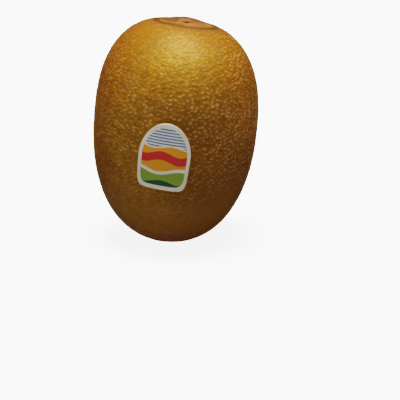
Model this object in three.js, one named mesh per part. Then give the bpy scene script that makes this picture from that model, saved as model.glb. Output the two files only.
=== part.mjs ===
// A golden kiwi fruit standing on its blossom end, with a small paper label on its front.
// Millimetres, +Z up. The label faces -Y. The origin is on the resting surface, under the part's middle.

import * as THREE from "three";

// Body: an upper and a lower half superellipse that meet at the girth
const GIRTH_WIDTH = 54; // widest part, along X
const GIRTH_DEPTH = 51.5; // widest part, along Y
const STEM_RISE = 35.2; // girth up to the stem end
const BLOSSOM_DROP = 39.9; // girth down to the blossom end
const STEM_POWER = 2.55; // 2 is an ellipse, more is blunter
const BLOSSOM_POWER = 2.24;
const STEM_SLOPE = -0.06; // rise of the stem end for each millimetre along X
const LEAN = THREE.MathUtils.degToRad(5.1); // tilt of the standing fruit towards +X
const REST_PRESS = 1.2; // height pressed flat where the fruit rests

// Stem end: a flat disc inside a crease, with the stem scar in its middle
const CREASE_RADIUS = 9.6;
const CREASE_HALF_WIDTH = 0.8;
const CREASE_DEPTH = 0.7;
const DISC_SHIFT = 0.9; // the disc sits this far towards +X
const DIP_DEPTH = 0.5; // broad dip on the disc's low side
const DIP_X = -6;
const DIP_RADIUS = 5;
const RIDGE_HEIGHT = 1.1; // low ridge behind the scar
const RIDGE_X = 1;
const RIDGE_Y = 4.5;
const RIDGE_RADIUS = 4.6;
const SCAR_RADIUS = 1.3;
const SCAR_DEPTH = 0.8;
const SCAR_LIP_RADIUS = 2.4;
const SCAR_LIP_HEIGHT = 0.25;

// Blossom end: a pit with folds running out of it
const PIT_RADIUS = 1.9;
const PIT_DEPTH = 1.5;
const FOLD_COUNT = 8;
const FOLD_SWAY = 0.9; // unevenness of the folds round the pit
const FOLD_DEPTH = 0.4;
const FOLD_RADIUS = 2.6; // where the folds are deepest
const FOLD_HALF_WIDTH = 1;

// Label: a thin sheet with an arched top and a squarer foot, wrapped on the skin
const LABEL_WIDTH = 16.3;
const LABEL_HEIGHT = 21.6;
const LABEL_TOP_POWER = 2; // outline, 2 is an ellipse and more is squarer
const LABEL_FOOT_POWER = 7;
const LABEL_THICKNESS = 0.2;
const LABEL_GAP = 0.1; // clear of the skin, in place of the glue
const LABEL_AZIMUTH = THREE.MathUtils.degToRad(-5.5); // from the front, -Y, towards +X
const LABEL_LEVEL = -4.2; // middle of the label, from the girth
const LABEL_ROLL = THREE.MathUtils.degToRad(3.5); // clockwise, beyond the fruit's own lean

// Mesh density
const SKIN_ROWS = 54;
const SKIN_SEGMENTS = 64;
const ROW_CROWDING = 0.7; // 0 is even rows, towards 1 crowds them to the two ends
const LABEL_RINGS = 4;
const LABEL_SEGMENTS = 56;

const GIRTH_RADIUS = GIRTH_WIDTH / 2;
const DEPTH_RATIO = GIRTH_DEPTH / GIRTH_WIDTH;

// A smooth hump of height 1 at the middle, falling away over the half width
function hump(distance, halfWidth) {
  return Math.exp(-((distance / halfWidth) ** 2));
}

// Distance of the plain body's skin from the girth's centre, at an angle from the stem end
function skinDistance(angle) {
  const onStemHalf = Math.cos(angle) >= 0;
  const rise = onStemHalf ? STEM_RISE : BLOSSOM_DROP;
  const power = onStemHalf ? STEM_POWER : BLOSSOM_POWER;
  const across = Math.sin(angle) / GIRTH_RADIUS;
  const along = Math.abs(Math.cos(angle)) / rise;
  return (across ** power + along ** power) ** (-1 / power);
}

// Radius of the plain body at a height from the girth
function radiusAt(height) {
  const rise = height >= 0 ? STEM_RISE : BLOSSOM_DROP;
  const power = height >= 0 ? STEM_POWER : BLOSSOM_POWER;
  return GIRTH_RADIUS * (1 - (Math.abs(height) / rise) ** power) ** (1 / power);
}

// Height of the plain body's stem half at a radius
function stemHeightAt(radius) {
  return STEM_RISE * (1 - (radius / GIRTH_RADIUS) ** STEM_POWER) ** (1 / STEM_POWER);
}

// Stem end at a radius: the disc is flat, and the crease and scar are cut into it
function stemEndHeight(radius, height) {
  const flattened = radius < CREASE_RADIUS ? stemHeightAt(CREASE_RADIUS) : height;
  const crease = CREASE_DEPTH * hump(radius - CREASE_RADIUS, CREASE_HALF_WIDTH);
  const lip = SCAR_LIP_HEIGHT * hump(radius - SCAR_LIP_RADIUS, SCAR_RADIUS);
  const scar = SCAR_DEPTH * hump(radius, SCAR_RADIUS);
  return flattened - crease + lip - scar;
}

// Depth of the blossom pit and its folds at a radius and azimuth
function blossomPit(radius, azimuth) {
  const fold = Math.max(0, Math.cos(FOLD_COUNT * azimuth + FOLD_SWAY * Math.sin(2 * azimuth)));
  const folds = FOLD_DEPTH * fold * hump(radius - FOLD_RADIUS, FOLD_HALF_WIDTH);
  return PIT_DEPTH * hump(radius, PIT_RADIUS) + folds;
}

// Place in space of a skin point, given by its radius, azimuth from the front and height from the girth:
// the girth is made oval, the stem end is moved off the axis and sloped, and the fruit is leaned
function stand(radius, azimuth, height, target) {
  const nearStem = Math.max(0, height / Math.hypot(radius, height));
  const x = radius * Math.sin(azimuth) + DISC_SHIFT * nearStem ** 8;
  const y = -radius * Math.cos(azimuth) * DEPTH_RATIO;
  const dip = DIP_DEPTH * hump(Math.hypot(x - DIP_X, y), DIP_RADIUS);
  const ridge = RIDGE_HEIGHT * hump(Math.hypot(x - RIDGE_X, y - RIDGE_Y), RIDGE_RADIUS);
  const z = height + (ridge - dip) * nearStem + STEM_SLOPE * x * nearStem ** 2;
  target.set(x, y, z);
  return target.applyAxisAngle(new THREE.Vector3(0, 1, 0), LEAN);
}

// Profile of the plain body from the blossom end up to the stem end, with its rows crowded to the ends
function bodyProfile() {
  const points = [];
  for (let row = 0; row <= SKIN_ROWS; row++) {
    const even = row / SKIN_ROWS;
    const crowded = even - (ROW_CROWDING * Math.sin(2 * Math.PI * even)) / (2 * Math.PI);
    const angle = Math.PI * (1 - crowded);
    const onAxis = row === 0 || row === SKIN_ROWS;
    const radius = onAxis ? 0 : skinDistance(angle) * Math.sin(angle);
    points.push(new THREE.Vector2(radius, skinDistance(angle) * Math.cos(angle)));
  }
  return points;
}

// The fruit's skin as one closed surface
function fruitGeometry() {
  const geometry = new THREE.LatheGeometry(bodyProfile(), SKIN_SEGMENTS);
  const position = geometry.attributes.position;
  const spot = new THREE.Vector3();
  const places = [];
  for (let i = 0; i < position.count; i++) {
    const radius = Math.hypot(position.getX(i), position.getZ(i));
    const azimuth = Math.atan2(position.getX(i), position.getZ(i));
    const level = position.getY(i);
    const height = level > 0 ? stemEndHeight(radius, level) : level;
    stand(radius, azimuth, height, spot);
    places.push({ spot: spot.clone(), pit: level < 0 ? blossomPit(radius, azimuth) : 0 });
  }
  const restLevel = Math.min(...places.map((place) => place.spot.z)) + REST_PRESS;
  places.forEach(({ spot: { x, y, z }, pit }, i) => {
    position.setXYZ(i, x, y, Math.max(z, restLevel) + pit);
  });
  geometry.computeVertexNormals();
  return geometry;
}

// Point of the plain skin at an azimuth and a height, lifted off it along its normal
function liftedSkinPoint(azimuth, height, lift, target) {
  const step = 0.001;
  const at = (a, h) => stand(radiusAt(h), a, h, new THREE.Vector3());
  const around = at(azimuth + step, height).sub(at(azimuth - step, height));
  const upward = at(azimuth, height + step).sub(at(azimuth, height - step));
  const normal = around.cross(upward).normalize();
  return target.copy(at(azimuth, height)).addScaledVector(normal, lift);
}

// A point of a disc of radius 1, pulled out to the label's outline
function labelOutline(right, up) {
  const power = up > 0 ? LABEL_TOP_POWER : LABEL_FOOT_POWER;
  const size = Math.hypot(right, up);
  const squareness = (Math.abs(right) ** power + Math.abs(up) ** power) ** (1 / power);
  const stretch = size > 0 ? size / squareness : 1;
  return new THREE.Vector2((right * stretch * LABEL_WIDTH) / 2, (up * stretch * LABEL_HEIGHT) / 2);
}

// The label: a thin disc with rings, pulled out to its outline and laid on the skin
function labelGeometry() {
  const points = [];
  for (let ring = 0; ring <= LABEL_RINGS; ring++) {
    points.push(new THREE.Vector2(ring / LABEL_RINGS, LABEL_GAP));
  }
  for (let ring = LABEL_RINGS; ring >= 0; ring--) {
    points.push(new THREE.Vector2(ring / LABEL_RINGS, LABEL_GAP + LABEL_THICKNESS));
  }
  const geometry = new THREE.LatheGeometry(points, LABEL_SEGMENTS);
  const position = geometry.attributes.position;
  for (let i = 0; i < position.count; i++) {
    const spot = labelOutline(position.getX(i), -position.getZ(i));
    spot.rotateAround(new THREE.Vector2(), -LABEL_ROLL);
    const azimuth = LABEL_AZIMUTH + spot.x / GIRTH_RADIUS;
    const place = liftedSkinPoint(azimuth, LABEL_LEVEL + spot.y, position.getY(i), new THREE.Vector3());
    position.setXYZ(i, place.x, place.y, place.z);
  }
  geometry.computeVertexNormals();
  return geometry;
}

const skin = new THREE.MeshStandardMaterial({ color: 0x8a5f1e, roughness: 0.5, metalness: 0 });
const paper = new THREE.MeshStandardMaterial({ color: 0xe9e4da, roughness: 0.45, metalness: 0 });

const fruit = new THREE.Mesh(fruitGeometry(), skin);
fruit.name = "fruit";
const label = new THREE.Mesh(labelGeometry(), paper);
label.name = "label";

const kiwi = new THREE.Group();
kiwi.add(fruit, label);

// The origin comes under the middle of the part, at the level that it rests on
const box = new THREE.Box3().setFromObject(kiwi);
const middle = box.getCenter(new THREE.Vector3());
kiwi.position.set(-middle.x, -middle.y, -box.min.z);

export default kiwi;
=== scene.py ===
import math

import bpy
from mathutils import Matrix, Vector


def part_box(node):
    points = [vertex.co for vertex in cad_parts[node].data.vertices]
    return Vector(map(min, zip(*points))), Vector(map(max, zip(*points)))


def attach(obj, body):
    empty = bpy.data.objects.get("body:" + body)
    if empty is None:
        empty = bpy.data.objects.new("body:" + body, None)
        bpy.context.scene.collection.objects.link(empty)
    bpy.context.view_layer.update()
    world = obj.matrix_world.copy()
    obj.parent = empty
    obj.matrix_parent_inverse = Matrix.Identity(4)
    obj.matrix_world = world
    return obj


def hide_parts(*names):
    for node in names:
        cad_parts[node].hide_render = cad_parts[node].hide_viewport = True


mm = 0.001  # sizes below are written in millimetres and used in metres

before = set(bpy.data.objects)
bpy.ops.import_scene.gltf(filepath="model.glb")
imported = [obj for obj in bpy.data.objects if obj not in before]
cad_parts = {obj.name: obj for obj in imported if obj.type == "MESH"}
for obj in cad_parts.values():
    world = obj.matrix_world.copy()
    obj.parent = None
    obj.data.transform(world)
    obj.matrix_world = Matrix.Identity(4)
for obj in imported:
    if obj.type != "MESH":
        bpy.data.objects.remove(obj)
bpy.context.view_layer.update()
print("frame loaded:", ", ".join(sorted(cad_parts)))


# node helpers: a Field is a node's output that can be used in plain sums

class Field:
    def __init__(self, tree, socket):
        self.tree = tree
        self.socket = socket

    def calc(self, operation, *others):
        return calc(self.tree, operation, self, *others)

    def __add__(self, other):
        return self.calc("ADD", other)

    def __sub__(self, other):
        return self.calc("SUBTRACT", other)

    def __rsub__(self, other):
        return calc(self.tree, "SUBTRACT", other, self)

    def __mul__(self, other):
        return self.calc("MULTIPLY", other)

    def __truediv__(self, other):
        return self.calc("DIVIDE", other)

    def __rtruediv__(self, other):
        return calc(self.tree, "DIVIDE", other, self)

    def __pow__(self, other):
        return self.calc("POWER", other)

    __radd__ = __add__
    __rmul__ = __mul__


def feed(tree, value, slot):
    if isinstance(value, Field):
        tree.links.new(value.socket, slot)
    else:
        slot.default_value = value


def addNode(tree, kind, output=0, settings=None, **inputs):
    node = tree.nodes.new(kind)
    for name, value in (settings or {}).items():
        setattr(node, name, value)
    for name, value in inputs.items():
        feed(tree, value, node.inputs[name.replace("_", " ")])
    return Field(tree, node.outputs[output])


def calc(tree, operation, *values):
    node = tree.nodes.new("ShaderNodeMath")
    node.operation = operation
    for value, slot in zip(values, node.inputs):
        feed(tree, value, slot)
    return Field(tree, node.outputs[0])


def ramp(value, low, high, start=0.0, end=1.0):  # smooth step from low to high, either way round
    node = value.tree.nodes.new("ShaderNodeMapRange")
    node.interpolation_type = "SMOOTHSTEP"
    for part, slot in zip((value, low, high, start, end), node.inputs):
        feed(value.tree, part, slot)
    return Field(value.tree, node.outputs[0])


def hump(distance, halfWidth):  # 1 at distance 0, falling away over the half width
    return ((distance / halfWidth) ** 2.0 * -1.0).calc("EXPONENT")


def lerp(start, end, share):
    return start + (end - start) * share


def splitVector(vector):
    node = vector.tree.nodes.new("ShaderNodeSeparateXYZ")
    feed(vector.tree, vector, node.inputs[0])
    return [Field(vector.tree, output) for output in node.outputs]


def joinVector(tree, x, y, z):
    return addNode(tree, "ShaderNodeCombineXYZ", X=x, Y=y, Z=z)


def vectorCalc(operation, first, second):
    node = first.tree.nodes.new("ShaderNodeVectorMath")
    node.operation = operation
    feed(first.tree, first, node.inputs[0])
    feed(first.tree, second, node.inputs["Scale"] if operation == "SCALE" else node.inputs[1])
    return Field(first.tree, node.outputs[0])


def noise(position, size, detail=2.0, output=0):  # size is the width of its blotches
    return addNode(position.tree, "ShaderNodeTexNoise", output,
                   Vector=position, Scale=1.0 / size, Detail=detail)


def newGeometryTree(name, sizes):  # one named input for each size
    tree = bpy.data.node_groups.new(name, "GeometryNodeTree")
    tree.interface.new_socket("Geometry", in_out="OUTPUT", socket_type="NodeSocketGeometry")
    kinds = {int: "NodeSocketInt", float: "NodeSocketFloat", bpy.types.Object: "NodeSocketObject"}
    for key, value in sizes.items():
        tree.interface.new_socket(key, in_out="INPUT", socket_type=kinds[type(value)])
    tree.interface.new_socket("material", in_out="INPUT", socket_type="NodeSocketMaterial")
    group = tree.nodes.new("NodeGroupInput")
    return tree, {output.name: Field(tree, output) for output in group.outputs if output.name}


def closeGeometryTree(tree, geometry, material):
    realized = addNode(tree, "GeometryNodeRealizeInstances", Geometry=geometry)
    painted = addNode(tree, "GeometryNodeSetMaterial", Geometry=realized, Material=material)
    output = tree.nodes.new("NodeGroupOutput")
    feed(tree, painted, output.inputs[0])


def meshFromTree(name, tree, sizes, material):
    holder = bpy.data.objects.new(name, bpy.data.meshes.new(name + "Holder"))
    bpy.context.scene.collection.objects.link(holder)
    modifier = holder.modifiers.new("shape", "NODES")
    modifier.node_group = tree
    for item in tree.interface.items_tree:
        if item.in_out == "INPUT":
            modifier[item.identifier] = material if item.name == "material" else sizes[item.name]
    depsgraph = bpy.context.evaluated_depsgraph_get()
    mesh = bpy.data.meshes.new_from_object(holder.evaluated_get(depsgraph), depsgraph=depsgraph)
    holder.modifiers.remove(modifier)
    holder.data = mesh
    mesh.name = name
    print(name + ":", len(mesh.vertices), "points,", len(mesh.polygons), "faces")
    return holder


def storeAttribute(geometry, name, value, domain="POINT", kind="FLOAT"):
    settings = {"data_type": kind, "domain": domain}
    return addNode(geometry.tree, "GeometryNodeStoreNamedAttribute", settings=settings,
                   Geometry=geometry, Name=name, Value=value)


def storedValue(tree, name, kind="FLOAT"):
    return addNode(tree, "GeometryNodeInputNamedAttribute", settings={"data_type": kind}, Name=name)


def pointPosition(tree):
    return addNode(tree, "GeometryNodeInputPosition")


def movePoints(geometry, position):
    return addNode(geometry.tree, "GeometryNodeSetPosition", Geometry=geometry, Position=position)


def alongNormal(position, distance):  # a position moved this far out of the surface
    normal = addNode(position.tree, "GeometryNodeInputNormal")
    return vectorCalc("ADD", position, vectorCalc("SCALE", normal, distance))


def newMaterial(name):
    material = bpy.data.materials.new(name)
    material.use_nodes = True
    tree = material.node_tree
    shader = tree.nodes["Principled BSDF"]
    return material, tree, shader


def mixColours(tree, share, first, second, blend="MIX"):
    node = tree.nodes.new("ShaderNodeMix")
    node.data_type = "RGBA"
    node.blend_type = blend
    feed(tree, share, node.inputs[0])
    feed(tree, first, node.inputs[6])
    feed(tree, second, node.inputs[7])
    return Field(tree, node.outputs[2])


def objectPosition(tree):
    return Field(tree, tree.nodes.new("ShaderNodeTexCoord").outputs["Object"])


def readAttribute(tree, name):
    return addNode(tree, "ShaderNodeAttribute", "Fac", settings={"attribute_name": name})


def finishShader(tree, shader, look, colour, roughness, relief):
    feed(tree, colour, shader.inputs["Base Color"])
    feed(tree, roughness, shader.inputs["Roughness"])
    bump = addNode(tree, "ShaderNodeBump", Strength=look["bump"], Distance=look["bumpDepth"], Height=relief)
    feed(tree, bump, shader.inputs["Normal"])


grainLook = {
    "patchStart": 0.36,  # level of the slow noise where a patch starts
    "patchFull": 0.64,
    "grainDetail": 3.0,
}


def makeGrain():  # slow patches and fine grain, for every surface of the part
    group = bpy.data.node_groups.new("surface grain", "ShaderNodeTree")
    for name, kind in (("Position", "Vector"), ("Patch Size", "Float"), ("Grain Size", "Float")):
        group.interface.new_socket(name, in_out="INPUT", socket_type="NodeSocket" + kind)
    for name in ("Patches", "Grain"):
        group.interface.new_socket(name, in_out="OUTPUT", socket_type="NodeSocketFloat")
    given = group.nodes.new("NodeGroupInput")
    position, patchSize, grainSize = [Field(group, socket) for socket in given.outputs[:3]]
    patches = ramp(noise(position, patchSize), grainLook["patchStart"], grainLook["patchFull"])
    grain = noise(position, grainSize, grainLook["grainDetail"])
    result = group.nodes.new("NodeGroupOutput")
    feed(group, patches, result.inputs["Patches"])
    feed(group, grain, result.inputs["Grain"])
    return group


surfaceGrain = makeGrain()


def useGrain(tree, patchSize=3 * mm, grainSize=0.3 * mm):  # the patches and the grain as two Fields
    node = tree.nodes.new("ShaderNodeGroup")
    node.node_tree = surfaceGrain
    feed(tree, objectPosition(tree), node.inputs["Position"])
    node.inputs["Patch Size"].default_value = patchSize
    node.inputs["Grain Size"].default_value = grainSize
    return Field(tree, node.outputs["Patches"]), Field(tree, node.outputs["Grain"])


# the fruit's body, by the same rule as the solid: two half superellipses, leaned and pressed flat below

kiwiBody = {
    "girthWidth": 54 * mm,
    "girthDepth": 51.5 * mm,
    "stemRise": 35.2 * mm,  # girth up to the stem end
    "blossomDrop": 39.9 * mm,  # girth down to the blossom end
    "stemPower": 2.55,  # 2 is an ellipse, more is blunter
    "blossomPower": 2.24,
    "stemSlope": -0.06,  # rise of the stem end along X
    "lean": math.radians(5.1),  # towards +X
    "discShift": 0.9 * mm,  # of the stem end, along X
    "shiftFade": 8.0,  # how sharply that shift fades away from the stem end
    "dipDepth": 0.5 * mm,  # on the low side of the stem end
    "dipX": -6 * mm,
    "dipRadius": 5 * mm,
    "ridgeHeight": 1.1 * mm,  # behind the stem scar
    "ridgeX": 1 * mm,
    "ridgeY": 4.5 * mm,
    "ridgeRadius": 4.6 * mm,
    "restPress": 1.2 * mm,  # height pressed flat where the fruit rests
}


def leanedPoint(x, y, level, body):  # a point of the upright fruit, sloped at its stem end and leaned
    reach = (x * x + y * y + level * level) ** 0.5
    nearStem = (level / reach).calc("MAXIMUM", 0.0)
    shiftedX = x + body["discShift"] * nearStem ** body["shiftFade"]
    flatY = y * (body["girthDepth"] / body["girthWidth"])
    dipDistance = ((shiftedX - body["dipX"]) ** 2.0 + flatY ** 2.0) ** 0.5
    ridgeDistance = ((shiftedX - body["ridgeX"]) ** 2.0 + (flatY - body["ridgeY"]) ** 2.0) ** 0.5
    dip = body["dipDepth"] * hump(dipDistance, body["dipRadius"])
    ridge = body["ridgeHeight"] * hump(ridgeDistance, body["ridgeRadius"])
    z = level + (ridge - dip) * nearStem + body["stemSlope"] * shiftedX * nearStem ** 2.0
    cosine = body["lean"].calc("COSINE")
    sine = body["lean"].calc("SINE")
    leaned = (shiftedX * cosine + z * sine, flatY, z * cosine - shiftedX * sine)
    return [part + body[name] for part, name in zip(leaned, ("girthX", "girthY", "girthZ"))]


def standGirth(body, middle):  # where the girth's middle comes when the pressed fruit stands on the floor
    stepsPerDegree = 10
    outline = []
    for step in range(360 * stepsPerDegree):
        angle = math.radians(step / stepsPerDegree)
        upper = math.cos(angle) >= 0
        power = body["stemPower"] if upper else body["blossomPower"]
        across = abs(math.sin(angle)) / (body["girthWidth"] / 2)
        along = abs(math.cos(angle)) / (body["stemRise"] if upper else body["blossomDrop"])
        reach = (across ** power + along ** power) ** (-1 / power)
        nearStem = max(0.0, math.cos(angle))
        x = reach * math.sin(angle) + body["discShift"] * nearStem ** body["shiftFade"]
        z = reach * math.cos(angle) + body["stemSlope"] * x * nearStem ** 2
        outline.append(Matrix.Rotation(body["lean"], 3, "Y") @ Vector((x, 0, z)))
    body["girthX"] = middle.x - (min(spot.x for spot in outline) + max(spot.x for spot in outline)) / 2
    body["girthY"] = middle.y
    body["girthZ"] = -min(spot.z for spot in outline) - body["restPress"]


fruitLow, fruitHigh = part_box("fruit")
standGirth(kiwiBody, (fruitLow + fruitHigh) / 2)


# paper label

paperLabel = {
    **kiwiBody,
    "columns": 73,  # of points
    "rows": 89,
    "width": 16.3 * mm,
    "height": 21.6 * mm,
    "topPower": 2.0,  # outline, 2 is an ellipse, more is squarer
    "footPower": 7.0,
    "azimuth": math.radians(-5.5),  # from the front towards +X
    "labelLevel": -4.2 * mm,  # middle of the label, from the girth
    "roll": math.radians(3.5),  # clockwise, beyond the fruit's own lean
    "lift": 0.2 * mm,  # of its printed face off the skin
    "thickness": 0.1 * mm,
    "waviness": 0.06 * mm,
    "waveSize": 2.5 * mm,
    "edgeLift": 0.12 * mm,  # where the rim is loose
    "rimStart": 0.8,  # share of the way from the middle to the edge
    "looseSize": 9 * mm,  # of the loose stretches of the rim
    "looseFrom": 0.45,  # level of the noise where they start
    "looseFull": 0.65,
}


def labelTree():
    tree, size = newGeometryTree("paper label", paperLabel)
    grid = addNode(tree, "GeometryNodeMeshGrid", Size_X=2.0, Size_Y=2.0,
                   Vertices_X=size["columns"], Vertices_Y=size["rows"])

    # the square grid becomes a round disc, and the disc is pulled out to the outline
    u, v, _ = splitVector(pointPosition(tree))
    discX = u * (1.0 - v * v * 0.5) ** 0.5
    discY = v * (1.0 - u * u * 0.5) ** 0.5
    power = lerp(size["footPower"], size["topPower"], discY.calc("GREATER_THAN", 0.0))
    squareness = (discX.calc("ABSOLUTE") ** power + discY.calc("ABSOLUTE") ** power) ** (1.0 / power)
    stretch = (discX * discX + discY * discY) ** 0.5 / squareness
    sheetU = discX * stretch * 0.5
    sheetV = discY * stretch * 0.5
    uv = joinVector(tree, sheetU + 0.5, sheetV + 0.5, 0.0)
    sheet = storeAttribute(grid, "print", uv, "CORNER", "FLOAT2")
    fromMiddle = u.calc("ABSOLUTE").calc("MAXIMUM", v.calc("ABSOLUTE"))
    sheet = storeAttribute(sheet, "fromMiddle", fromMiddle)

    # wrapped on the plain body
    flatX = sheetU * size["width"]
    flatY = sheetV * size["height"]
    cosine = size["roll"].calc("COSINE")
    sine = size["roll"].calc("SINE")
    azimuth = size["azimuth"] + (flatX * cosine + flatY * sine) / (size["girthWidth"] * 0.5)
    level = size["labelLevel"] + flatY * cosine - flatX * sine
    onStem = level.calc("GREATER_THAN", 0.0)
    rise = lerp(size["blossomDrop"], size["stemRise"], onStem)
    power = lerp(size["blossomPower"], size["stemPower"], onStem)
    radius = size["girthWidth"] * 0.5 * (1.0 - (level.calc("ABSOLUTE") / rise) ** power) ** (1.0 / power)
    around = (radius * azimuth.calc("SINE"), radius * azimuth.calc("COSINE") * -1.0)
    wrapped = joinVector(tree, *leanedPoint(*around, level, size))
    sheet = movePoints(sheet, wrapped)

    # lifted off it, a little uneven and with the rim a little loose
    position = pointPosition(tree)
    waves = (noise(position, size["waveSize"]) - 0.5) * size["waviness"]
    loose = ramp(noise(position, size["looseSize"]), size["looseFrom"], size["looseFull"])
    rim = ramp(storedValue(tree, "fromMiddle"), size["rimStart"], 1.0) * loose
    lift = size["lift"] + waves + rim * size["edgeLift"]
    sheet = movePoints(sheet, alongNormal(position, lift))
    sheet = addNode(tree, "GeometryNodeSetShadeSmooth", Geometry=sheet)
    closeGeometryTree(tree, sheet, size["material"])
    return tree


labelPrint = {
    "paper": (0.95, 0.86, 0.70, 1),
    "sky": (0.15, 0.28, 0.55, 1),
    "yellow": (0.95, 0.38, 0.012, 1),
    "red": (0.74, 0.04, 0.035, 1),
    "leaf": (0.32, 0.46, 0.06, 1),
    "hill": (0.03, 0.15, 0.05, 1),
    "shade": (0.35, 0.30, 0.25, 1),
    "shadeShare": 0.05,
    "linesPerMillimetre": 1.1,  # thin lines of sky
    "lineEdge": (0.46, 0.54),  # share of a line's room where its ink starts and is full
    "bandEdge": 0.08,  # half width of a band's soft edge, in millimetres
    "border": 0.87,  # share of the way to the edge that is printed
    "borderEdge": 0.012,
    "patchSize": 3 * mm,
    "grainSize": 0.25 * mm,
    "roughness": (0.38, 0.58),
    "bump": 0.25,
    "bumpDepth": 0.05 * mm,
}

labelBands = (  # ink, and the wavy line that it lies under: level and swing in millimetres, pace and start
    ("paper", 3.6, 0.5, 0.55, 0.4),
    ("yellow", 3.1, 0.5, 0.55, 0.4),
    ("red", 1.2, 0.7, 0.55, 2.0),
    ("yellow", -1.5, 0.7, 0.55, 2.0),
    ("paper", -3.9, 0.8, 0.42, -0.9),
    ("leaf", -5.0, 0.8, 0.42, -0.9),
    ("hill", -8.2, 0.6, 0.5, 1.6),
)


def labelMaterial():
    material, tree, shader = newMaterial("paperLabel")
    look = labelPrint
    u, v, _ = splitVector(addNode(tree, "ShaderNodeUVMap", settings={"uv_map": "print"}))
    right = (u - 0.5) * (paperLabel["width"] / mm)  # millimetres on the label, from its middle
    up = (v - 0.5) * (paperLabel["height"] / mm)
    acrossShare = ((u - 0.5) * 2.0).calc("ABSOLUTE")
    upShare = ((v - 0.5) * 2.0).calc("ABSOLUTE")
    power = lerp(paperLabel["footPower"], paperLabel["topPower"], v.calc("GREATER_THAN", 0.5))
    toEdge = (acrossShare ** power + upShare ** power) ** (1.0 / power)

    lines = ramp((up * look["linesPerMillimetre"]).calc("FRACT"), *look["lineEdge"])
    colour = mixColours(tree, lines, look["paper"], look["sky"])
    for ink, level, swing, pace, start in labelBands:
        line = (right * pace + start).calc("SINE") * swing + level
        below = ramp(up, line + look["bandEdge"], line - look["bandEdge"])
        colour = mixColours(tree, below, colour, look[ink])
    border = ramp(toEdge, look["border"] - look["borderEdge"], look["border"] + look["borderEdge"])
    colour = mixColours(tree, border, colour, look["paper"])
    patches, grain = useGrain(tree, look["patchSize"], look["grainSize"])
    colour = mixColours(tree, patches * look["shadeShare"], colour, look["shade"])
    finishShader(tree, shader, look, colour, lerp(*look["roughness"], grain), grain)
    return material


label = meshFromTree("paperLabel", labelTree(), paperLabel, labelMaterial())
solidify = label.modifiers.new("thickness", "SOLIDIFY")
solidify.thickness = paperLabel["thickness"]
solidify.offset = -1.0  # towards the fruit
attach(label, "root")
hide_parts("label")


# skin

noiseRange = (0.35, 0.65)  # most of a noise lies between these levels

kiwiSkin = {
    **kiwiBody,
    "label": label,
    "facesPerEdge": 128,  # of the cube that is blown up to the fruit
    "creaseRadius": 9.6 * mm,
    "creaseHalfWidth": 0.7 * mm,
    "creaseDepth": 0.7 * mm,
    "creaseLeast": 0.75,  # share of that depth where the crease is shallowest
    "creaseMost": 1.15,  # and where it is deepest
    "stretchLength": 0.9,  # of its deep and shallow stretches, as a share of the radius
    "creaseWander": 0.5 * mm,  # how far the crease strays from a circle
    "wanderLength": 0.7,
    "wrinkle": 0.3 * mm,  # fine wrinkles running out over the disc
    "wrinkleWidth": 0.16,  # as a share of the distance from the scar
    "wrinkleChange": 0.15,  # along its length, for each millimetre
    "wrinkleMiddle": 0.6,  # where they are strongest, as a share of the crease's radius
    "wrinkleReach": 0.45,  # how far they fade from there
    "dishDepth": 0.45 * mm,  # hollow round the scar
    "dishRadius": 4 * mm,
    "scarRadius": 1.3 * mm,
    "scarDepth": 0.8 * mm,
    "scarLipRadius": 2.4 * mm,
    "scarLipHeight": 0.25 * mm,
    "pitRadius": 1.9 * mm,
    "pitDepth": 1.5 * mm,
    "foldCount": 8.0,
    "foldSway": 0.9,
    "foldDepth": 0.4 * mm,
    "foldRadius": 2.6 * mm,
    "foldHalfWidth": 1.0 * mm,
    "swell": 0.25 * mm,  # slow unevenness of the surface
    "swellSize": 14 * mm,
    "peel": 0.12 * mm,  # fine unevenness between the lenticels
    "peelSize": 1.7 * mm,
    "peelSquat": 1.7,  # how many times lower than wide
    "peelOnDisc": 0.4,  # share of the peel on the stem end's disc
    "discInner": 0.6,  # from here out to discOuter the peel grows, in radii of the crease
    "discOuter": 1.4,
    "pitInner": 2.0,  # from here out to pitOuter the unevenness starts, in radii of the pit
    "pitOuter": 5.0,
    "labelNear": 0.4 * mm,  # from here out to labelFar it starts round the label
    "labelFar": 2 * mm,
}


def distanceTo(thing):  # from each point to another piece
    surface = addNode(thing.tree, "GeometryNodeObjectInfo", "Geometry", Object=thing)
    return addNode(thing.tree, "GeometryNodeProximity", "Distance",
                   settings={"target_element": "FACES"}, Geometry=surface)


def squat(position, times):  # makes the blotches of a noise lie round the fruit
    return vectorCalc("MULTIPLY", position, joinVector(position.tree, 1.0, 1.0, times))


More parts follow.
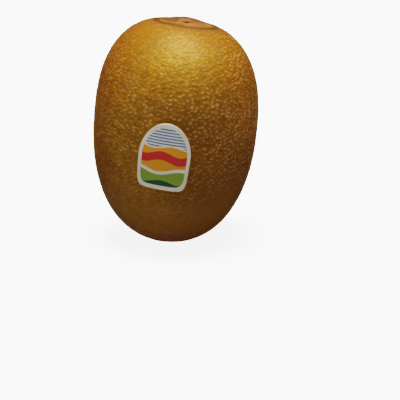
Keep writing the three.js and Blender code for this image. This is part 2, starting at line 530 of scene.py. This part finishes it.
def skinTree():
    tree, size = newGeometryTree("kiwi skin", kiwiSkin)
    points = size["facesPerEdge"] + 1.0
    cube = addNode(tree, "GeometryNodeMeshCube", Size=(2, 2, 2),
                   Vertices_X=points, Vertices_Y=points, Vertices_Z=points)

    # the cube's points spread evenly over a ball, and out to the skin
    corner = splitVector(pointPosition(tree))
    spread = joinVector(tree, *[(part * (math.pi / 4)).calc("TANGENT") for part in corner])
    towards = addNode(tree, "ShaderNodeVectorMath", settings={"operation": "NORMALIZE"}, Vector=spread)
    dirX, dirY, dirZ = splitVector(towards)
    sinePart = (dirX * dirX + dirY * dirY) ** 0.5
    onStem = dirZ.calc("GREATER_THAN", 0.0)
    rise = lerp(size["blossomDrop"], size["stemRise"], onStem)
    power = lerp(size["blossomPower"], size["stemPower"], onStem)
    girthRadius = size["girthWidth"] * 0.5
    across = (sinePart / girthRadius) ** power
    along = (dirZ.calc("ABSOLUTE") / rise) ** power
    reach = (across + along) ** (-1.0 / power)
    radius = reach * sinePart
    azimuth = dirX.calc("ARCTAN2", dirY * -1.0)

    # stem end: flat disc, crease, lip and scar
    discShare = 1.0 - (size["creaseRadius"] / girthRadius) ** size["stemPower"]
    discLevel = size["stemRise"] * discShare ** (1.0 / size["stemPower"])
    onDisc = radius.calc("LESS_THAN", size["creaseRadius"]) * onStem
    roundDisc = joinVector(tree, dirX / sinePart, dirY / sinePart, radius * size["wrinkleChange"] / mm)
    streak = noise(roundDisc, size["wrinkleWidth"], detail=1.0) - 0.5
    fromWrinkles = radius - size["wrinkleMiddle"] * size["creaseRadius"]
    wrinkles = streak * size["wrinkle"] * hump(fromWrinkles, size["wrinkleReach"] * size["creaseRadius"])
    aroundRim = joinVector(tree, dirX / sinePart, dirY / sinePart, 0.0)
    wander = (noise(aroundRim, size["wanderLength"], detail=1.0) - 0.5) * 2.0 * size["creaseWander"]
    stretches = noise(roundDisc, size["stretchLength"], detail=1.0)
    uneven = ramp(stretches, *noiseRange, size["creaseLeast"], size["creaseMost"])
    fromCrease = radius - size["creaseRadius"] - wander
    crease = size["creaseDepth"] * uneven * hump(fromCrease, size["creaseHalfWidth"])
    lip = size["scarLipHeight"] * hump(radius - size["scarLipRadius"], size["scarRadius"])
    scar = size["scarDepth"] * hump(radius, size["scarRadius"])
    dish = size["dishDepth"] * hump(radius, size["dishRadius"])
    level = lerp(reach * dirZ, discLevel, onDisc) + (lip + wrinkles - crease - scar - dish) * onStem
    stood = joinVector(tree, *leanedPoint(reach * dirX, reach * dirY, level, size))

    # blossom end: pit and folds
    fold = (size["foldCount"] * azimuth + size["foldSway"] * (azimuth * 2.0).calc("SINE")).calc("COSINE")
    foldBand = hump(radius - size["foldRadius"], size["foldHalfWidth"])
    folds = size["foldDepth"] * fold.calc("MAXIMUM", 0.0) * foldBand
    pit = (size["pitDepth"] * hump(radius, size["pitRadius"]) + folds) * (1.0 - onStem)

    # what the material and the lenticels read stays on the points
    far = 1.0  # on the other half
    skin = storeAttribute(cube, "fromStem", lerp(far, radius, onStem))
    skin = storeAttribute(skin, "fromBlossom", lerp(radius, far, onStem))
    skin = storeAttribute(skin, "pitRise", pit)
    skin = storeAttribute(skin, "creaseLine", crease / size["creaseDepth"] * onStem)
    skin = storeAttribute(skin, "streak", streak)
    skin = movePoints(skin, stood)

    # pressed flat where it rests, with the pit rising out of the flat
    x, y, z = splitVector(pointPosition(tree))
    skin = movePoints(skin, joinVector(tree, x, y, z.calc("MAXIMUM", 0.0) + storedValue(tree, "pitRise")))

    # slow swelling and fine unevenness, along the surface's normal
    position = pointPosition(tree)
    swelling = (noise(position, size["swellSize"]) - 0.5) * size["swell"]
    offDisc = ramp(storedValue(tree, "fromStem"),
                   size["discInner"] * size["creaseRadius"], size["discOuter"] * size["creaseRadius"])
    offPit = ramp(storedValue(tree, "fromBlossom"),
                  size["pitInner"] * size["pitRadius"], size["pitOuter"] * size["pitRadius"])
    offLabel = ramp(distanceTo(size["label"]), size["labelNear"], size["labelFar"])
    peel = noise(squat(position, size["peelSquat"]), size["peelSize"], detail=0.0) - 0.5
    peel = peel * size["peel"] * lerp(size["peelOnDisc"], 1.0, offDisc)
    raised = alongNormal(position, (swelling + peel) * offPit * offLabel)
    raisedX, raisedY, raisedZ = splitVector(raised)
    skin = movePoints(skin, joinVector(tree, raisedX, raisedY, raisedZ.calc("MAXIMUM", 0.0)))
    skin = addNode(tree, "GeometryNodeSetShadeSmooth", Geometry=skin)
    closeGeometryTree(tree, skin, size["material"])
    return tree


skinColours = {
    "golden": (0.43, 0.193, 0.012, 1),  # upper front, lighter and yellower: partly its own golden colour, partly painted highlight where the shine falls
    "front": (0.262, 0.113, 0.010, 1),
    # lighter on the left side: painted light
    "left": (0.44, 0.211, 0.021, 1),
    # lighter on the right side: painted light
    "right": (0.46, 0.184, 0.022, 1),
    "sides": (0.35, 0.133, 0.009, 1),
    "low": (0.305, 0.150, 0.031, 1),
    # lighter and redder towards the bottom: partly painted light from below
    "foot": (0.43, 0.170, 0.068, 1),
    "shoulder": (0.30, 0.104, 0.003, 1),  # near the stem end, and darker on the upper sides away from the front: partly painted shade
    "flank": (0.212, 0.064, 0.003, 1),  # upper sides, darker towards the outline: painted shade
    "olive": (0.23, 0.115, 0.008, 1),
    # rust in small patches, and painted shade low on the right and the front
    "rustAndShade": (0.228, 0.092, 0.013, 1),
    "net": (0.62, 0.30, 0.06, 1),
    "outsideCrease": (0.22, 0.085, 0.034, 1),  # darker, in a ring just outside the crease
    "disc": (0.265, 0.086, 0.022, 1),
    "discPale": (0.42, 0.160, 0.048, 1),
    "discShade": (0.105, 0.040, 0.014, 1),
    # dark colour for painted shade in the crease, also used in the blossom pit
    "crease": (0.10, 0.040, 0.005, 1),
    "halo": (0.30, 0.10, 0.025, 1),  # round the blossom pit
}


# the skin's colours, one over another, each in a zone or two: a share, and the fades that bound it; several
# zones are painted light and shade
# a fade runs along a measure from one place to another, and from 0 to 1 where it gives no other shares

groundLayers = (
    ("front", (1.0, ("facing", 0.4, 0.95))),
    # painted light on the left side
    ("left", (0.85, ("x", 0.0, -10 * mm), ("facing", 0.5, 0.8), ("height", 66 * mm, 48 * mm))),
    # painted light on the right side, in two zones
    ("right", (0.65, ("x", 6 * mm, 18 * mm), ("height", 34 * mm, 42 * mm), ("height", 54 * mm, 46 * mm))),
    ("right", (0.3, ("x", 4 * mm, 9 * mm), ("x", 18 * mm, 13 * mm),
               ("height", 28 * mm, 31 * mm), ("height", 40 * mm, 35 * mm))),
    # lighter, yellower upper front: partly painted highlight
    ("golden", (1.0, ("facing", 0.6, 1.0), ("height", 44 * mm, 60 * mm), ("height", 71 * mm, 65 * mm))),
    ("low", (1.0, ("height", 30 * mm, 10 * mm))),
    # lighter near the bottom: partly painted light from below
    ("foot", (1.0, ("height", 11 * mm, 1 * mm))),
    # darker on the upper sides, painted shade, and near the stem end
    ("shoulder", (0.7, ("facing", 0.95, 0.6), ("height", 46 * mm, 58 * mm)),
                 (0.8, ("height", 64 * mm, 71 * mm))),
    # painted shade on the upper sides
    ("flank", (1.0, ("facing", 0.75, 0.25), ("height", 47 * mm, 58 * mm),
               ("x", -4 * mm, -14 * mm, 0.8, 1.0))),
)

aboveFoot = (("height", 14 * mm, 20 * mm, 0.65, 1.0), ("height", 2 * mm, 8 * mm))

groundPatches = {
    "oliveSize": 6 * mm,
    "olive": 0.25,
    "rustSize": 2 * mm,
    "rustAndShade": (1.0, ("height", 6 * mm, 34 * mm, 0.1, 0.5)),
    # painted shade, low on the right and the front
    "paintedLowShade": ((0.85, ("x", 9 * mm, 18 * mm), ("height", 42 * mm, 22 * mm), *aboveFoot),
                  (0.8, ("x", -6 * mm, 10 * mm), ("height", 28 * mm, 22 * mm), *aboveFoot)),
}


def zoneShare(measures, *zones):  # the greatest share that one of the zones gives
    greatest = None
    for share, *fades in zones:
        for along, *fade in fades:
            share = ramp(measures[along], *fade) * share
        greatest = greatest.calc("MAXIMUM", share) if greatest else share
    return greatest


def makeGround():  # colour of the skin between its markings, with painted light and shade in some zones, for the skin and its lenticels
    group = bpy.data.node_groups.new("kiwi ground", "ShaderNodeTree")
    group.interface.new_socket("Colour", in_out="OUTPUT", socket_type="NodeSocketColor")
    x, y, z = splitVector(objectPosition(group))
    fromAxis = x - kiwiBody["girthX"] - (z - kiwiBody["girthZ"]) * math.tan(kiwiBody["lean"])
    facing = y * -1.0 / (fromAxis * fromAxis + y * y) ** 0.5  # 1 on the label's side, 0 at the flanks
    measures = {"x": x, "height": z, "facing": facing}
    ground = skinColours["sides"]
    for colour, *zones in groundLayers:
        ground = mixColours(group, zoneShare(measures, *zones), ground, skinColours[colour])
    olive, _ = useGrain(group, groundPatches["oliveSize"])
    ground = mixColours(group, olive * groundPatches["olive"], ground, skinColours["olive"])
    rustAndShade, _ = useGrain(group, groundPatches["rustSize"])
    rustAndShade = rustAndShade * zoneShare(measures, groundPatches["rustAndShade"])
    # with painted shade low on the right and the front
    rustAndShade = rustAndShade.calc("MAXIMUM", zoneShare(measures, *groundPatches["paintedLowShade"]))
    ground = mixColours(group, rustAndShade, ground, skinColours["rustAndShade"])
    result = group.nodes.new("NodeGroupOutput")
    feed(group, ground, result.inputs["Colour"])
    return group


kiwiGround = makeGround()


skinGloss = {
    "specular": 0.33,
    "tint": (1, 0.84, 0.5, 1),
    "roughness": (0.42, 0.58),
    "discRougher": 0.2,
    "bump": 0.5,
    "bumpDepth": 0.1 * mm,
    "netHeight": 0.5,  # shares of the net and the grain in the bump
    "grainHeight": 0.2,
}

skinMarks = {  # shares of the marks, and the places where each starts and is full
    "thread": (0.07, 0.0),  # of the pale net, in levels of the noise
    "net": 0.15,
    "patchSize": 1.8 * mm,
    "paleSize": 3.5 * mm,
    "discEdge": (1.02 * kiwiSkin["creaseRadius"], 0.9 * kiwiSkin["creaseRadius"]),
    "disc": 0.85,
    "outsideCreaseEdge": (1.75 * kiwiSkin["creaseRadius"], 1.05 * kiwiSkin["creaseRadius"]),
    "outsideCrease": (0.5, 0.85),  # between its patches and in them
    # painted shade in the crease and in a band round its circle
    "creaseEdge": (0.0, 0.4),  # shares of the crease's depth
    "bandEdge": (2.2 * mm, 0.5 * mm),  # from the crease's circle
    "band": 0.7,
    "crease": 0.9,
    "scarEdge": (1.9 * kiwiSkin["scarRadius"], 0.6 * kiwiSkin["scarRadius"]),
    "scar": 0.7,
    "haloEdge": (6 * mm, 2 * mm),  # from the blossom pit's middle
    "halo": 0.6,
    # dark in the blossom pit: partly painted shade
    "pitEdge": (2.2 * mm, 0.6 * mm),
    "pit": 0.85,
    "smudge": 0.42,
    "streakEdge": (0.0, -0.12),  # height of a wrinkle, from its ridge into its furrow, where it is darker: partly painted shade
    "streak": 0.6,
    "farRimDark": ((0.2 * mm, 4.9 * mm, 4.4 * mm, 3.8 * mm),  # dark patches on the disc's far rim, partly painted shade: x, y and half widths along both
              (6.6 * mm, 2.6 * mm, 2.4 * mm, 1.9 * mm)),
    "farRimDarkEdge": (1.4, 0.85),  # in half widths
    "farRimDarkRagged": 0.9,  # how far its edge strays
}


def setGloss(shader):
    shader.inputs["Specular IOR Level"].default_value = skinGloss["specular"]
    shader.inputs["Specular Tint"].default_value = skinGloss["tint"]


def skinMaterial():
    material, tree, shader = newMaterial("kiwiSkin")
    colours = skinColours
    marks = skinMarks
    position = objectPosition(tree)
    skin = addNode(tree, "ShaderNodeGroup", settings={"node_tree": kiwiGround})

    # a faint pale net between the lenticels
    threads = noise(squat(position, kiwiSkin["peelSquat"]), kiwiSkin["peelSize"], detail=1.0)
    net = ramp((threads - 0.5).calc("ABSOLUTE"), *marks["thread"])
    skin = mixColours(tree, net * marks["net"], skin, colours["net"])

    # the stem end's disc, with dry dark smudges, darker wrinkle furrows and dark patches on its far rim:
    # the furrows and the far rim partly painted shade
    fromStem = readAttribute(tree, "fromStem")
    patches, grain = useGrain(tree, marks["patchSize"])
    pale, _ = useGrain(tree, marks["paleSize"])
    # darker in the wrinkles' furrows: partly painted shade
    streaks = ramp(readAttribute(tree, "streak"), *marks["streakEdge"])
    smudges = (patches * marks["smudge"]).calc("MAXIMUM", streaks * marks["streak"])
    x, y, _ = splitVector(position)
    stray = (patches + grain - 1.0) * marks["farRimDarkRagged"]
    for darkX, darkY, halfX, halfY in marks["farRimDark"]:
        fromFarRimDark = (((x - darkX) / halfX) ** 2.0 + ((y - darkY) / halfY) ** 2.0) ** 0.5 + stray
        smudges = smudges.calc("MAXIMUM", ramp(fromFarRimDark, *marks["farRimDarkEdge"]))
    disc = mixColours(tree, pale, colours["disc"], colours["discPale"])
    disc = mixColours(tree, smudges, disc, colours["discShade"])
    onDisc = ramp(fromStem, *marks["discEdge"])
    outsideCrease = ramp(fromStem, *marks["outsideCreaseEdge"]) * lerp(*marks["outsideCrease"], patches)
    skin = mixColours(tree, outsideCrease, skin, colours["outsideCrease"])
    skin = mixColours(tree, onDisc * marks["disc"], skin, disc)

    # the crease, darkened as painted shade in it and in a band round its circle, the scar, and the blossom
    # end
    band = ramp((fromStem - kiwiSkin["creaseRadius"]).calc("ABSOLUTE"), *marks["bandEdge"])
    crease = ramp(readAttribute(tree, "creaseLine"), *marks["creaseEdge"])
    crease = crease.calc("MAXIMUM", band * marks["band"])
    skin = mixColours(tree, crease * marks["crease"], skin, colours["crease"])
    skin = mixColours(tree, ramp(fromStem, *marks["scarEdge"]) * marks["scar"], skin, colours["discShade"])
    fromBlossom = readAttribute(tree, "fromBlossom")
    skin = mixColours(tree, ramp(fromBlossom, *marks["haloEdge"]) * marks["halo"], skin, colours["halo"])
    # dark in the blossom pit, partly painted shade
    skin = mixColours(tree, ramp(fromBlossom, *marks["pitEdge"]) * marks["pit"], skin, colours["crease"])

    roughness = lerp(*skinGloss["roughness"], grain * 0.5 + patches * 0.5)
    relief = net * skinGloss["netHeight"] + grain * skinGloss["grainHeight"]
    finishShader(tree, shader, skinGloss, skin, roughness + onDisc * skinGloss["discRougher"], relief)
    setGloss(shader)
    return material


skin = meshFromTree("kiwiSkin", skinTree(), kiwiSkin, skinMaterial())
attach(skin, "root")
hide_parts("fruit")


# lenticels: small raised corky dots, spread evenly over the skin

lenticels = {
    "skin": skin,
    "label": label,
    "seed": 4,
    "sides": 6,
    "nearest": 1.0 * mm,  # least distance between two dots
    "perSquareMetre": 1600000.0,
    "shortest": 1.35 * mm,  # length of a dot
    "longest": 2.7 * mm,
    "narrowest": 0.43,  # width, as a share of the length
    "widest": 0.76,
    "sway": math.radians(37),  # how far a dot's length turns from lying round the fruit
    "ragged": 0.26 * mm,  # how far its outline strays
    "raggedSize": 0.6 * mm,
    "height": 0.16 * mm,
    "flattest": 0.7,  # shares of that height
    "tallest": 1.3,
    "lowDots": 0.4,  # and on the foot
    "lowLevel": 4 * mm,
    "fullLevel": 40 * mm,
    "sink": 0.15,  # share of the height that is in the skin
    "discRadius": kiwiSkin["creaseRadius"],
    "discInner": 1.1,  # from here out to discOuter the dots start, in radii of the disc
    "discOuter": 1.35,
    "pitInner": 4.5 * mm,  # from here out to pitOuter they start round the blossom pit
    "pitOuter": 9 * mm,
    "labelNear": 0.4 * mm,  # and from here out to labelFar round the label
    "labelFar": 0.9 * mm,
    "floorNear": 0.3 * mm,  # and from here up to floorFar over the flat
    "floorFar": 0.8 * mm,
}


def randomNumber(tree, low, high, seed):
    node = tree.nodes.new("FunctionNodeRandomValue")
    node.data_type = "FLOAT"
    for name, value in (("Min", low), ("Max", high), ("Seed", seed)):
        slots = [slot for slot in node.inputs if slot.name == name and slot.enabled]
        feed(tree, value, slots[0])
    return Field(tree, [output for output in node.outputs if output.enabled][0])


def lenticelTree():
    tree, size = newGeometryTree("lenticels", lenticels)

    # one dot: a low mound that remembers how far each point rises
    mound = addNode(tree, "GeometryNodeMeshCone", settings={"fill_type": "NONE"}, Vertices=size["sides"],
                    Side_Segments=1, Radius_Top=0.0, Radius_Bottom=1.0, Depth=1.0)
    x, y, z = splitVector(pointPosition(tree))
    mound = storeAttribute(mound, "rise", z)
    mound = movePoints(mound, joinVector(tree, x, y, z - size["sink"]))

    # spread over the skin, except on the disc, in the blossom pit, under the label and on the flat
    surface = addNode(tree, "GeometryNodeObjectInfo", "Geometry", Object=size["skin"])
    _, _, aboveFloor = splitVector(pointPosition(tree))
    clear = ramp(storedValue(tree, "fromStem"),
                 size["discInner"] * size["discRadius"], size["discOuter"] * size["discRadius"])
    clear = clear * ramp(storedValue(tree, "fromBlossom"), size["pitInner"], size["pitOuter"])
    clear = clear * ramp(distanceTo(size["label"]), size["labelNear"], size["labelFar"])
    clear = clear * ramp(aboveFloor, size["floorNear"], size["floorFar"])
    scatter = tree.nodes.new("GeometryNodeDistributePointsOnFaces")
    scatter.distribute_method = "POISSON"
    for name, value in (("Mesh", surface), ("Distance Min", size["nearest"]), ("Density Factor", clear),
                        ("Density Max", size["perSquareMetre"]), ("Seed", size["seed"])):
        feed(tree, value, scatter.inputs[name])
    points, outward, upright = [Field(tree, output) for output in scatter.outputs]
    spotX, spotY, _ = splitVector(pointPosition(tree))
    aroundFruit = joinVector(tree, spotY * -1.0, spotX, 0.0)
    rotation = addNode(tree, "FunctionNodeAlignRotationToVector", settings={"axis": "X", "pivot_axis": "Z"},
                       Rotation=upright, Vector=aroundFruit)
    sway = randomNumber(tree, size["sway"] * -1.0, size["sway"], size["seed"] + 1.0)
    rotation = addNode(tree, "FunctionNodeRotateRotation", settings={"rotation_space": "LOCAL"},
                       Rotation=rotation, Rotate_By=joinVector(tree, 0.0, 0.0, sway))
    length = randomNumber(tree, size["shortest"], size["longest"], size["seed"] + 2.0)
    width = length * randomNumber(tree, size["narrowest"], size["widest"], size["seed"] + 3.0)
    height = size["height"] * randomNumber(tree, size["flattest"], size["tallest"], size["seed"] + 4.0)
    height = height * ramp(aboveFloor, size["lowLevel"], size["fullLevel"], size["lowDots"], 1.0)
    dots = addNode(tree, "GeometryNodeInstanceOnPoints", Points=points, Instance=mound, Rotation=rotation,
                   Scale=joinVector(tree, length * 0.5, width * 0.5, height))
    dots = storeAttribute(dots, "tone", randomNumber(tree, 0.0, 1.0, size["seed"] + 5.0), "INSTANCE")
    dots = storeAttribute(dots, "outward", outward, "INSTANCE", "FLOAT_VECTOR")
    dots = addNode(tree, "GeometryNodeRealizeInstances", Geometry=dots)

    # outlines made ragged, along the skin
    drift = noise(pointPosition(tree), size["raggedSize"], detail=0.0, output="Color")
    drift = vectorCalc("SCALE", vectorCalc("SUBTRACT", drift, (0.5, 0.5, 0.5)), size["ragged"] * 2.0)
    away = storedValue(tree, "outward", "FLOAT_VECTOR")
    drift = vectorCalc("SUBTRACT", drift, vectorCalc("PROJECT", drift, away))
    dots = addNode(tree, "GeometryNodeSetPosition", Geometry=dots, Offset=drift)
    dots = addNode(tree, "GeometryNodeSetShadeSmooth", Geometry=dots)
    closeGeometryTree(tree, dots, size["material"])
    return tree


lenticelLook = {
    "pale": (0.72, 0.39, 0.14, 1),
    "dull": (0.50, 0.245, 0.07, 1),
    "dullByTone": 0.7,  # shares of a dot's own tone and of the slow patches
    "dullByPatch": 0.3,
    "gain": (1.85, 2.3, 9.0, 1),  # how much lighter than the ground
    "cork": 0.3,  # share of the cork's own colour, the rest is the lighter ground
    "middle": 2 * mm,  # x of the upper part's middle, where the shine falls
    "patchSize": 9 * mm,
    "grainSize": 0.2 * mm,
    "edge": (0.0, 0.95),  # share of the height where a dot's colour starts and is full
    "faintDots": (1.0, 0.2, 0.5, 1.0),  # the duller its tone, the fainter a dot is
    "roughness": (0.4, 0.54),
    "bump": 0.25,
    "bumpDepth": 0.04 * mm,
}

lenticelZones = {  # where the dots are plainer, fainter or less corky; fainter under the shine, a painted highlight
    "plain": (1.0, ("height", 5 * mm, 38 * mm, 0.1, 1.0), ("height", 44 * mm, 62 * mm, 1.0, 1.3),
              ("height", 71 * mm, 62 * mm, 0.85, 1.0), ("x", -18 * mm, 12 * mm, 0.62, 1.0)),
    "underShine": (0.65, ("height", 50 * mm, 60 * mm), ("fromMiddle", 19 * mm, 9 * mm)),
    "upperSides": (0.2, ("height", 46 * mm, 58 * mm), ("fromMiddle", 9 * mm, 17 * mm)),
    "lowRight": (0.4, ("x", 2 * mm, 12 * mm), ("height", 28 * mm, 16 * mm)),
}


def lenticelMaterial():
    material, tree, shader = newMaterial("lenticels")
    look = lenticelLook
    x, _, z = splitVector(objectPosition(tree))
    measures = {"x": x, "height": z, "fromMiddle": (x - look["middle"]).calc("ABSOLUTE")}
    zones = {name: zoneShare(measures, zone) for name, zone in lenticelZones.items()}
    patches, grain = useGrain(tree, look["patchSize"], look["grainSize"])
    tone = readAttribute(tree, "tone")
    ground = addNode(tree, "ShaderNodeGroup", settings={"node_tree": kiwiGround})
    lighter = mixColours(tree, 1.0, ground, look["gain"], "MULTIPLY")
    dull = tone * look["dullByTone"] + patches * look["dullByPatch"]
    cork = mixColours(tree, dull, look["pale"], look["dull"])
    cork = mixColours(tree, look["cork"] - zones["upperSides"], lighter, cork)
    # fainter under the shine: painted highlight
    plain = zones["plain"] * (1.0 - zones["underShine"]) * (1.0 - zones["lowRight"])
    plain = plain * ramp(tone, *look["faintDots"])
    colour = mixColours(tree, ramp(readAttribute(tree, "rise"), *look["edge"]) * plain, ground, cork)
    finishShader(tree, shader, look, colour, lerp(*look["roughness"], grain), grain)
    setGloss(shader)
    return material


dots = meshFromTree("lenticels", lenticelTree(), lenticels, lenticelMaterial())
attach(dots, "root")


# dry fibres: a woody stub in the stem scar and bristles in the blossom pit

stemFibres = {
    "seed": 11,
    "count": 46,
    "sides": 5,
    "spread": 0.6 * mm,  # radius of the spot that they stand on
    "shortest": 0.8 * mm,
    "longest": 1.4 * mm,
    "thickness": 0.24 * mm,
    "taper": 0.5,  # thickness at the tip, as a share
    "tilt": math.radians(10),
    "heading": 0.0,  # up
    "root": 0.2 * mm,  # length inside the fruit
}

blossomFibres = {
    **stemFibres,
    "seed": 23,
    "count": 34,
    "spread": 1.0 * mm,
    "shortest": 0.6 * mm,
    "longest": 1.3 * mm,
    "thickness": 0.16 * mm,
    "tilt": math.radians(32),
    "heading": math.pi,  # down
}


def leastSpot(mesh, name):  # place of the point where an attribute is least
    values = mesh.attributes[name].data
    return min(mesh.vertices, key=lambda point: values[point.index].value).co


def fibreTree(name, sizes):
    tree, size = newGeometryTree(name, sizes)
    reach = size["spread"] * randomNumber(tree, 0.0, 1.0, size["seed"]) ** 0.5
    turn = randomNumber(tree, 0.0, math.tau, size["seed"] + 1.0)
    placeX = size["spotX"] + reach * turn.calc("COSINE")
    placeY = size["spotY"] + reach * turn.calc("SINE")
    placeZ = size["spotZ"] - size["root"] * size["heading"].calc("COSINE")
    points = addNode(tree, "GeometryNodePoints", Count=size["count"],
                     Position=joinVector(tree, placeX, placeY, placeZ))
    fibre = addNode(tree, "GeometryNodeMeshCone", Vertices=size["sides"], Side_Segments=2,
                    Radius_Top=0.5 * size["taper"], Radius_Bottom=0.5, Depth=1.0)
    lean = size["tilt"] * -1.0
    turnX = size["heading"] + randomNumber(tree, lean, size["tilt"], size["seed"] + 2.0)
    turnY = randomNumber(tree, lean, size["tilt"], size["seed"] + 3.0)
    length = randomNumber(tree, size["shortest"], size["longest"], size["seed"] + 4.0)
    fibres = addNode(tree, "GeometryNodeInstanceOnPoints", Points=points, Instance=fibre,
                     Rotation=joinVector(tree, turnX, turnY, turn),
                     Scale=joinVector(tree, size["thickness"], size["thickness"], length))
    fibres = storeAttribute(fibres, "tone", randomNumber(tree, 0.0, 1.0, size["seed"] + 5.0), "INSTANCE")
    closeGeometryTree(tree, fibres, size["material"])
    return tree


fibreLook = {
    "dark": (0.28, 0.110, 0.034, 1),
    "brown": (0.48, 0.20, 0.070, 1),
    "brownByTone": 0.6,  # shares of a fibre's own tone and of the grain
    "brownByGrain": 0.4,
    "grainSize": 0.1 * mm,
    "roughness": (0.7, 0.95),
    "specular": 0.2,
}


def fibreMaterial():
    material, tree, shader = newMaterial("dryFibres")
    look = fibreLook
    _, grain = useGrain(tree, grainSize=look["grainSize"])
    share = readAttribute(tree, "tone") * look["brownByTone"] + grain * look["brownByGrain"]
    feed(tree, mixColours(tree, share, look["dark"], look["brown"]), shader.inputs["Base Color"])
    feed(tree, lerp(*look["roughness"], grain), shader.inputs["Roughness"])
    shader.inputs["Specular IOR Level"].default_value = look["specular"]
    return material


dryFibre = fibreMaterial()
fibreSpots = {"stemFibres": (stemFibres, "fromStem"), "blossomFibres": (blossomFibres, "fromBlossom")}
for name, (sizes, attribute) in fibreSpots.items():
    sizes["spotX"], sizes["spotY"], sizes["spotZ"] = leastSpot(skin.data, attribute)
    fibres = meshFromTree(name, fibreTree(name, sizes), sizes, dryFibre)
    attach(fibres, "root")


# floor, light and camera

view = {
    "lens": 85.0,
    "sensor": 36.0,
    "pitch": math.radians(18.5),
    "distance": 313.6 * mm,  # along the view, to the girth's middle
    "sideways": 8.1 * mm,  # the view's axis passes this far to the right of the girth's middle
    "below": 24.9 * mm,  # and this far below it
    "nearest": 10 * mm,  # what is nearer isn't seen
}


def makeCamera():
    data = bpy.data.cameras.new("camera")
    data.lens = view["lens"]
    data.sensor_width = view["sensor"]
    data.clip_start = view["nearest"]
    camera = bpy.data.objects.new("camera", data)
    bpy.context.scene.collection.objects.link(camera)
    forward = Vector((0, math.cos(view["pitch"]), -math.sin(view["pitch"])))
    up = Vector((0, math.sin(view["pitch"]), math.cos(view["pitch"])))
    right = Vector((1, 0, 0))
    girth = Vector((kiwiBody["girthX"], kiwiBody["girthY"], kiwiBody["girthZ"]))
    camera.location = girth + right * view["sideways"] - up * view["below"] - forward * view["distance"]
    camera.rotation_euler = (math.pi / 2 - view["pitch"], 0, 0)
    bpy.context.scene.camera = camera


studio = {
    "floorHalf": 4.0,
    "floorGlow": 2.4,  # seen by the camera alone, so that it doesn't light the fruit
    "floorWhite": 0.9,
    "floorBounce": 0.2,  # how pale the floor is as a reflector
    "floorUnder": 0.15,  # its own soft light on the fruit's foot
    "worldWhite": 3.8,
    "worldFill": 0.05,
    "key": {"azimuth": 0, "elevation": 90, "strength": 5.8, "spread": 26, "colour": (1, 1, 1)},
    "shine": {"azimuth": 24, "elevation": 75, "strength": 8.6, "spread": 40, "colour": (1, 0.87, 0.6)},
    "fill": {"place": (-0.08, -0.62, 0.03), "aim": (0, 0, 0.03), "size": 0.35, "power": 0.22,
             "colour": (1, 0.88, 0.75)},
}


def linkNodes(tree, first, second, slot=0):
    tree.links.new(first.outputs[0], second.inputs[slot])


def makeFloor():
    mesh = bpy.data.meshes.new("floor")
    half = studio["floorHalf"]
    corners = [(-half, -half, 0), (half, -half, 0), (half, half, 0), (-half, half, 0)]
    mesh.from_pydata(corners, [], [(0, 1, 2, 3)])
    floor = bpy.data.objects.new("floor", mesh)
    bpy.context.scene.collection.objects.link(floor)
    material, tree, shader = newMaterial("floor")
    white = studio["floorWhite"]
    pale = studio["floorBounce"]
    shader.inputs["Base Color"].default_value = (white, white, white, 1)
    shader.inputs["Roughness"].default_value = 1.0
    shader.inputs["Specular IOR Level"].default_value = 0.0
    shader.inputs["Emission Color"].default_value = (1, 1, 1, 1)
    shader.inputs["Emission Strength"].default_value = studio["floorGlow"]
    bounce = tree.nodes.new("ShaderNodeBsdfDiffuse")
    bounce.inputs["Color"].default_value = (pale, pale, pale, 1)
    under = tree.nodes.new("ShaderNodeEmission")
    under.inputs["Strength"].default_value = studio["floorUnder"]
    both = tree.nodes.new("ShaderNodeAddShader")
    linkNodes(tree, bounce, both)
    linkNodes(tree, under, both, 1)
    seen = tree.nodes.new("ShaderNodeLightPath")  # its first output is 1 for the camera
    mix = tree.nodes.new("ShaderNodeMixShader")
    linkNodes(tree, seen, mix)
    linkNodes(tree, both, mix, 1)
    linkNodes(tree, shader, mix, 2)
    linkNodes(tree, mix, tree.nodes["Material Output"])
    mesh.materials.append(material)
    floor.visible_glossy = False  # keeps its glare off the fruit's edges


def makeLamp(name, kind, towards, colour):  # towards points from what is lit to the lamp
    data = bpy.data.lights.new(name, kind)
    data.color = colour
    lamp = bpy.data.objects.new(name, data)
    lamp.rotation_euler = towards.to_track_quat("Z", "Y").to_euler()
    bpy.context.scene.collection.objects.link(lamp)
    return lamp


def makeFill(name, place, aim, size, power, colour):
    lamp = makeLamp(name, "AREA", Vector(place) - Vector(aim), colour)
    lamp.data.size = size
    lamp.data.energy = power
    lamp.location = place
    lamp.visible_glossy = False


def makeSun(name, azimuth, elevation, strength, spread, colour):  # azimuth from the front towards +X
    turn = math.radians(azimuth)
    rise = math.radians(elevation)
    towards = Vector((math.sin(turn) * math.cos(rise), -math.cos(turn) * math.cos(rise), math.sin(rise)))
    lamp = makeLamp(name, "SUN", towards, colour)
    lamp.data.energy = strength
    lamp.data.angle = math.radians(spread)
    return lamp


def makeWorld():
    world = bpy.data.worlds.new("studio")
    world.use_nodes = True
    tree = world.node_tree
    background = tree.nodes["Background"]
    background.inputs["Color"].default_value = (1, 1, 1, 1)
    seen = Field(tree, tree.nodes.new("ShaderNodeLightPath").outputs["Is Camera Ray"])
    feed(tree, lerp(studio["worldFill"], studio["worldWhite"], seen), background.inputs["Strength"])
    bpy.context.scene.world = world


makeCamera()
makeFloor()
key = makeSun("key", **studio["key"])
key.visible_glossy = False  # the shine comes from a second light, nearer the camera
shine = makeSun("shine", **studio["shine"])
shine.visible_diffuse = False
makeFill("fill", **studio["fill"])
makeWorld()
bpy.context.scene.view_settings.view_transform = "Filmic"
bpy.context.scene.view_settings.look = "High Contrast"
print("stage ready")
